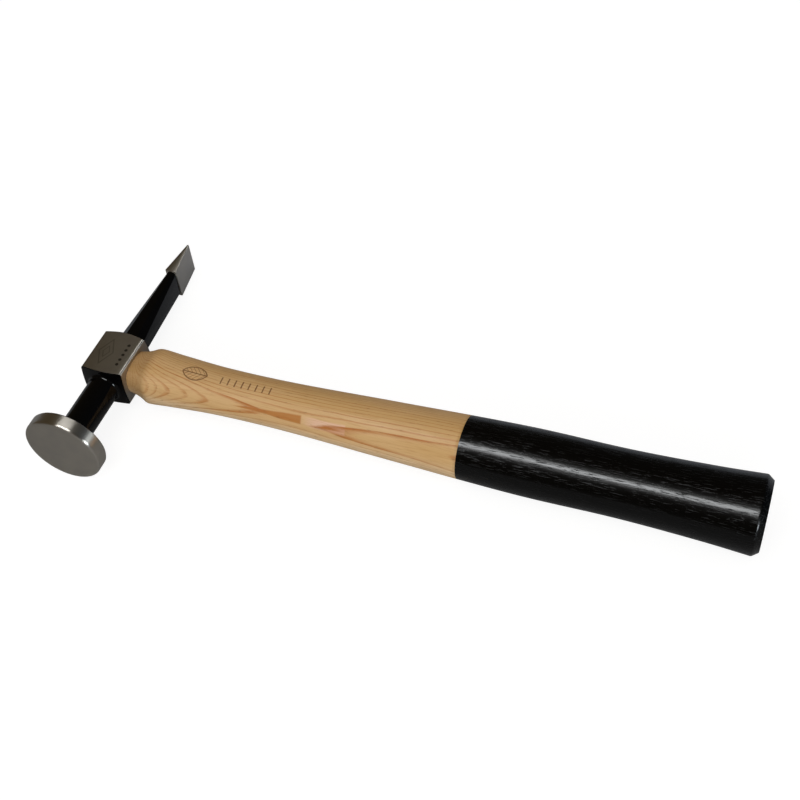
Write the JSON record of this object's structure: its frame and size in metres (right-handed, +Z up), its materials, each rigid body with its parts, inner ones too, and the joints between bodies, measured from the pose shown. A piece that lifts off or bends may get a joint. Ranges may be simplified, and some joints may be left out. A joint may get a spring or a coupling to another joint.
{
  "type": "panel beating hammer",
  "caption": "Body repair hammer with a flat round face and a cross pein on an oval hickory handle with a black lacquered grip.",
  "frame": {"origin": "under the middle of the hammer's box, on the surface it lies on", "axes": "+X along the handle from the head to the butt, +Y along the head from the face to the pein, +Z up; the hammer lies at rest on the face's rim, the pein's lower end and the butt, so its head is rolled 4.7 degrees about X"},
  "size_m": [0.3458, 0.1448, 0.0403],
  "materials": {
    "ground_steel": "ground and satin polished",
    "head_lacquer": "gloss black lacquer",
    "hickory": "clear satin lacquer",
    "grip_lacquer": "semi-gloss black lacquer over open grain",
    "wedge_wood": "raw end grain",
    "wedge_steel": "bright drawn steel"
  },
  "bodies": {
    "root": {"head": "ground_steel", "neck_lacquer": "head_lacquer", "arm_lacquer": "head_lacquer", "handle": "hickory", "grip_lacquer": "grip_lacquer", "wood_wedge": "wedge_wood", "ring_wedge": "wedge_steel"}
  },
  "joints": []
}
